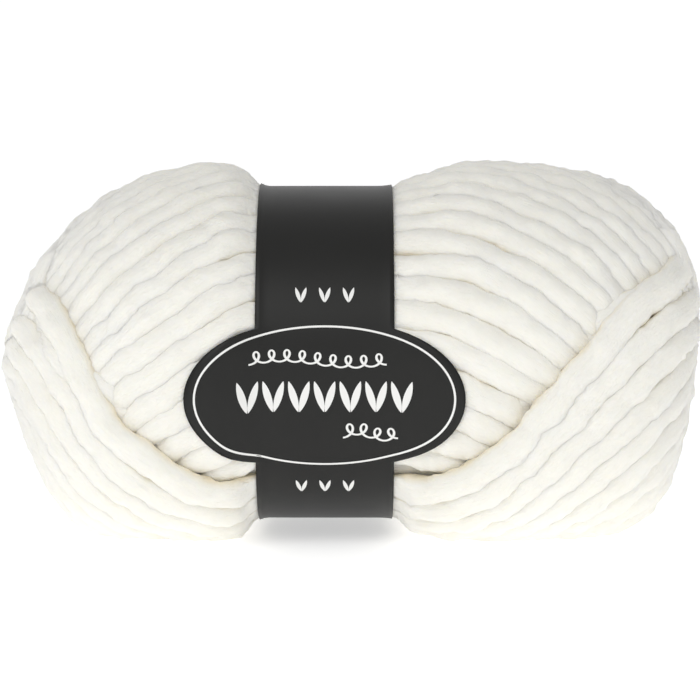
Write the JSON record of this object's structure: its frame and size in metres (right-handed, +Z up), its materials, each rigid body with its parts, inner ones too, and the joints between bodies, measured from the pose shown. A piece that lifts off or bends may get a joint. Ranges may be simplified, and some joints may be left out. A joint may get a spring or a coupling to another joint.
{
  "type": "ball of yarn",
  "caption": "Long oval pull-skein of thick fluffy cream yarn, lying on a small flat spot, with a plain black paper band and oval panel round its waist.",
  "frame": {"origin": "under the middle of the ball, on the surface that it rests on", "axes": "+X along the ball's long axis, -Y out of the band's oval panel, +Z up"},
  "size_m": [0.1599, 0.0914, 0.0863],
  "materials": {
    "cream_yarn": "soft brushed acrylic, matt and fluffy, off-white",
    "black_paper": "smooth coated black paper, semi-gloss, with white print and a white cut edge"
  },
  "bodies": {
    "root": {"yarn_ball": "cream_yarn", "label_band": "black_paper"}
  },
  "joints": []
}
